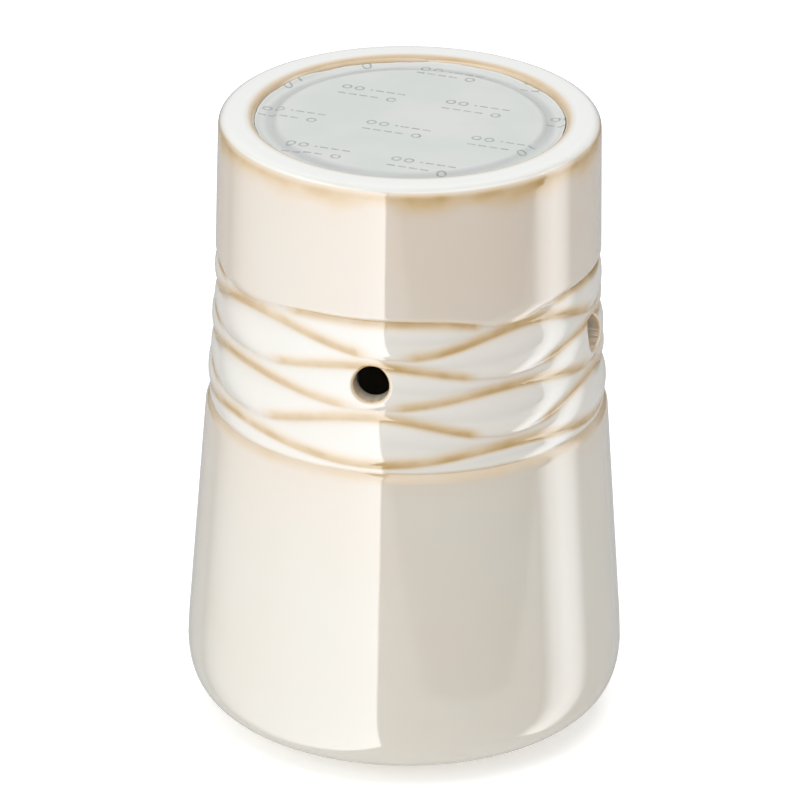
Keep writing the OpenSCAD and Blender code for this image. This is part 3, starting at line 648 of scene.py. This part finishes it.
PRINT_PITCH = (25.0, 17.7)
PRINT_SHIFT = (1.0, 6.1)
film_place = add_node(film, "ShaderNodeTexCoord")
film_turn = add_node(film, "ShaderNodeMapping", rotation=(0, 0, math.radians(9.6)), scale=(1000, 1000, 1000))
film_turn.inputs["Location"].default_value = (*PRINT_SHIFT, 0)
film_axes = add_node(film, "ShaderNodeSeparateXYZ")
connect(film, film_place.outputs["Object"], film_turn.inputs["Vector"])
connect(film, film_turn.outputs["Vector"], film_axes.inputs[0])
row = maths(film, "ADD", maths(film, "DIVIDE", film_axes.outputs["Y"], PRINT_PITCH[1]), 0.5)
stagger = maths(film, "MULTIPLY", maths(film, "FLOORED_MODULO", maths(film, "FLOOR", row), 2.0), 0.5)
column = maths(film, "ADD", maths(film, "DIVIDE", film_axes.outputs["X"], PRINT_PITCH[0]), 0.5)


def place_in_repeat(count, pitch):
    """Distance from the middle of a repeat, from a running count of repeats."""
    share = maths(film, "SUBTRACT", maths(film, "FLOORED_MODULO", count, 1.0), 0.5)
    return maths(film, "MULTIPLY", share, pitch)


across = place_in_repeat(maths(film, "ADD", column, stagger), PRINT_PITCH[0])
along = place_in_repeat(row, PRINT_PITCH[1])
marks = []
for middle, height in ((-6.6, 1.9), (-3.6, 1.9), (5.4, -1.9)):
    reach = maths(film, "SQRT", maths(
        film, "ADD",
        maths(film, "POWER", maths(film, "SUBTRACT", across, middle), 2.0),
        maths(film, "POWER", maths(film, "SUBTRACT", along, height), 2.0),
    ))
    marks.append(inside(film, maths(film, "SUBTRACT", reach, 0.95), 0.24))
dash = inside(film, maths(film, "SUBTRACT", maths(film, "FLOORED_MODULO", across, 2.6), 1.3), 0.95)
for middle, height, half_length in ((3.2, 1.9, 4.2), (-2.6, -1.9, 5.0)):
    bar = maths(
        film, "MULTIPLY",
        inside(film, maths(film, "SUBTRACT", across, middle), half_length),
        inside(film, maths(film, "SUBTRACT", along, height), 0.3),
    )
    marks.append(maths(film, "MULTIPLY", bar, dash))
printed = marks[0]
for mark in marks[1:]:
    printed = maths(film, "MAXIMUM", printed, mark)
film_radius = maths(film, "SQRT", maths(
    film, "ADD",
    maths(film, "POWER", maths(film, "SUBTRACT", film_axes.outputs["X"], PRINT_SHIFT[0]), 2.0),
    maths(film, "POWER", maths(film, "SUBTRACT", film_axes.outputs["Y"], PRINT_SHIFT[1]), 2.0),
))
film_cloud = add_node(film, "ShaderNodeTexNoise", scale=60.0, detail=3.0)
film_worn = add_node(film, "ShaderNodeTexNoise", scale=700.0, detail=3.0)
film_tones = add_node(film, "ShaderNodeValToRGB")
film_tones.color_ramp.elements[0].position = 0.35
film_tones.color_ramp.elements[0].color = (0.53, 0.56, 0.535, 1)
film_tones.color_ramp.elements[1].position = 0.65
film_tones.color_ramp.elements[1].color = (0.575, 0.585, 0.57, 1)
# painted shade: a darker tone where the film runs down the plate's step
film_step_shade = add_node(film, "ShaderNodeMix", data_type="RGBA")
film_step_shade.inputs[7].default_value = (0.37, 0.385, 0.39, 1)
# painted highlight: a lighter tone along the film's curled outer edge
film_edge_highlight = add_node(film, "ShaderNodeMix", data_type="RGBA")
film_edge_highlight.inputs[7].default_value = (0.64, 0.65, 0.64, 1)
film_print = add_node(film, "ShaderNodeMix", data_type="RGBA")
film_print.inputs[7].default_value = (0.19, 0.205, 0.2, 1)
film_dents = add_node(film, "ShaderNodeBump", strength=0.35, distance=0.0003)
# where the painted step shade lies, mottled by the cloud
step_shade_share = maths(film, "MULTIPLY", inside(film, maths(film, "SUBTRACT", film_radius, 31.3), 1.2, 0.7), maths(
    film, "ADD", film_cloud.outputs["Fac"], 0.1))
print_share = maths(film, "MULTIPLY", printed, maths(film, "MULTIPLY", film_worn.outputs["Fac"], 1.25))
for texture in (film_cloud, film_worn):
    connect(film, film_place.outputs["Object"], texture.inputs["Vector"])
connect(film, film_cloud.outputs["Fac"], film_tones.inputs["Fac"])
connect(film, film_tones.outputs["Color"], film_step_shade.inputs[6])
connect(film, step_shade_share, film_step_shade.inputs[0])
connect(film, film_step_shade.outputs[2], film_edge_highlight.inputs[6])
connect(film, inside(film, maths(film, "SUBTRACT", film_radius, 34.8), 0.3, 0.2), film_edge_highlight.inputs[0])
connect(film, film_edge_highlight.outputs[2], film_print.inputs[6])
connect(film, print_share, film_print.inputs[0])
connect(film, film_print.outputs[2], film_shader.inputs["Base Color"])
connect(film, film_cloud.outputs["Fac"], film_dents.inputs["Height"])
connect(film, film_dents.outputs["Normal"], film_shader.inputs["Normal"])

# The sheet is cut a little wider than the plate, so it follows the step and curls up against the opening.
FILM_R = 34.84
FILM_T = 0.08
PLATEAU_R = 29.6
STEP_LENGTH = 1.7
STEP_DROP = 0.56
CURL_R = 33.2
CURL_LENGTH = 1.5
plate_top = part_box("heating_plate")[1].z / MM
film_radii = np.concatenate([np.linspace(0.05, PLATEAU_R - 1.2, 36), np.linspace(PLATEAU_R - 1.0, FILM_R, 50)])
sheet = spun("pressed_film", [(r, plate_top + 0.02) for r in film_radii], 320, closed=False)
spots = vertex_array(sheet.data)
x, y, z = spots.T
radius = np.hypot(x, y)
azimuth = np.arctan2(y, x)
step = np.clip((radius - PLATEAU_R) / STEP_LENGTH, 0, 1)
z = z - STEP_DROP * step ** 2 * (3 - 2 * step)
slack = np.clip((radius - PLATEAU_R - 0.4) / 2.0, 0, 1)
for index, (px, py) in enumerate(zip(x, y)):
    ripple = noise.noise(Vector((px * 0.16, py * 0.16, 3.0))) + 0.5 * noise.noise(Vector((px * 0.5, py * 0.5, 8.0)))
    z[index] += 0.03 * abs(ripple) + 0.2 * slack[index] * abs(ripple)
curl = np.clip((radius - CURL_R) / CURL_LENGTH, 0, 1)
z += curl ** 2 * (0.5 + 0.16 * np.sin(5 * azimuth + 1.0) + 0.1 * np.sin(13 * azimuth))
store_vertices(sheet.data, np.column_stack([x, y, z]))
choose_only(sheet)
thickness = sheet.modifiers.new("thickness", "SOLIDIFY")
thickness.thickness = FILM_T * MM
thickness.offset = 1
bpy.ops.object.modifier_apply(modifier=thickness.name)
smooth_all_but_edges(sheet)
sheet.data.materials.append(film)
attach(sheet, "warmer")
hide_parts("plate_film")

# Plate seal and base gasket: soft dark rubber rings between metal or plastic and the glazed ledges.
dress(["plate_seal_ring", "base_gasket"],
      finish_of("seal_rubber", ((0.03, 0.03, 0.032), (0.05, 0.05, 0.052)), 300.0, 0.6))

# Fixings: zinc-plated steel, bright with a faint yellow and blue cast.
dress(["plate_studs", "stud_spacers", "stud_washers", "stud_nuts", "tie_rods", "tie_rod_nuts", "tie_rod_washers",
       "fuse_clip_screw", "terminal_block_screw", "base_feet_screws", "cord_clamp_screws"],
      finish_of("zinc_plate", ((0.62, 0.63, 0.67), (0.72, 0.70, 0.64)), 250.0, 0.3, 1.0, bump=0.05))

# Heater cover, tie bracket and fuse clip: pressed from galvanised sheet, dull with a coarse spangle.
dress(["heater_cover", "tie_bracket", "fuse_clip"],
      finish_of("galvanised_sheet", ((0.48, 0.49, 0.51), (0.62, 0.63, 0.65)), 120.0, 0.42, 1.0, detail=0.0))

# Mica sheets and former: pressed mica flakes, translucent brown and silver.
dress(["upper_mica_sheet", "mica_former", "lower_mica_sheet"],
      finish_of("mica", ((0.42, 0.34, 0.24), (0.58, 0.52, 0.42)), 450.0, 0.35, 0.2, detail=1.0))

# Resistance winding: a nickel-chromium ribbon, blued by its first heat.
dress(["resistance_winding"],
      finish_of("resistance_ribbon", ((0.34, 0.32, 0.31), (0.44, 0.40, 0.36)), 500.0, 0.38, 1.0))

# Insulation pad: white ceramic fibre felt.
dress(["insulation_pad"], finish_of("fibre_pad", ((0.74, 0.73, 0.70), (0.84, 0.83, 0.80)), 1500.0, 0.95, bump=0.6))

# Thermal fuse and its sleeve: a plated can inside woven glass tubing, held under the clip.
dress(["thermal_fuse"], finish_of("fuse_can", ((0.66, 0.62, 0.52), (0.74, 0.70, 0.60)), 400.0, 0.28, 1.0))
dress(["fuse_sleeve"], finish_of("glass_sleeve", ((0.72, 0.71, 0.66), (0.86, 0.85, 0.80)), 2500.0, 0.8, bump=0.5,
                                 stretch=(1, 3, 3)))

# Leads: glass-covered wire on the hot side and a brown plastic-covered wire from the switch.
dress(["fuse_supply_lead", "element_live_lead", "element_neutral_lead"],
      finish_of("glass_lead", ((0.70, 0.69, 0.65), (0.82, 0.81, 0.77)), 2500.0, 0.8, bump=0.5))
dress(["switch_feed_lead"], finish_of("feed_lead", ((0.16, 0.075, 0.04), (0.20, 0.10, 0.05)), 600.0, 0.4))

# Terminal block, push-on connectors and the switch's plunger: natural nylon mouldings.
dress(["terminal_block", "lead_connectors", "switch_plunger"],
      finish_of("natural_nylon", ((0.76, 0.73, 0.64), (0.82, 0.79, 0.71)), 200.0, 0.42))

# Brass: terminal screws, switch terminals and the rocking contact blade.
dress(["terminal_screws", "switch_terminals", "switch_contact_blade"],
      finish_of("brass", ((0.70, 0.50, 0.22), (0.80, 0.60, 0.30)), 500.0, 0.3, 1.0))

# Base cover and cord clamp: black plastic mouldings with a fine spark-eroded grain.
dress(["base_cover", "cord_clamp"],
      finish_of("base_plastic", ((0.04, 0.04, 0.044), (0.055, 0.055, 0.06)), 2200.0, 0.55, bump=0.35))

# Feet: turned rubber pads round the cover screws.
dress(["rubber_feet"],
      finish_of("foot_rubber", ((0.035, 0.035, 0.037), (0.055, 0.055, 0.057)), 900.0, 0.75, bump=0.3))

# Cord gland: a black nylon bush snapped into the back wall.
dress(["cord_gland"], finish_of("gland_nylon", ((0.035, 0.035, 0.037), (0.05, 0.05, 0.052)), 700.0, 0.42))

# Rocker switch: satin black mouldings with a fine grain, round a steel spring.
dress(["switch_housing", "switch_rocker"],
      finish_of("switch_plastic", ((0.028, 0.028, 0.031), (0.04, 0.04, 0.043)), 1800.0, 0.32, bump=0.15))
dress(["switch_spring"], finish_of("spring_steel", ((0.45, 0.46, 0.48), (0.55, 0.56, 0.58)), 800.0, 0.3, 1.0))
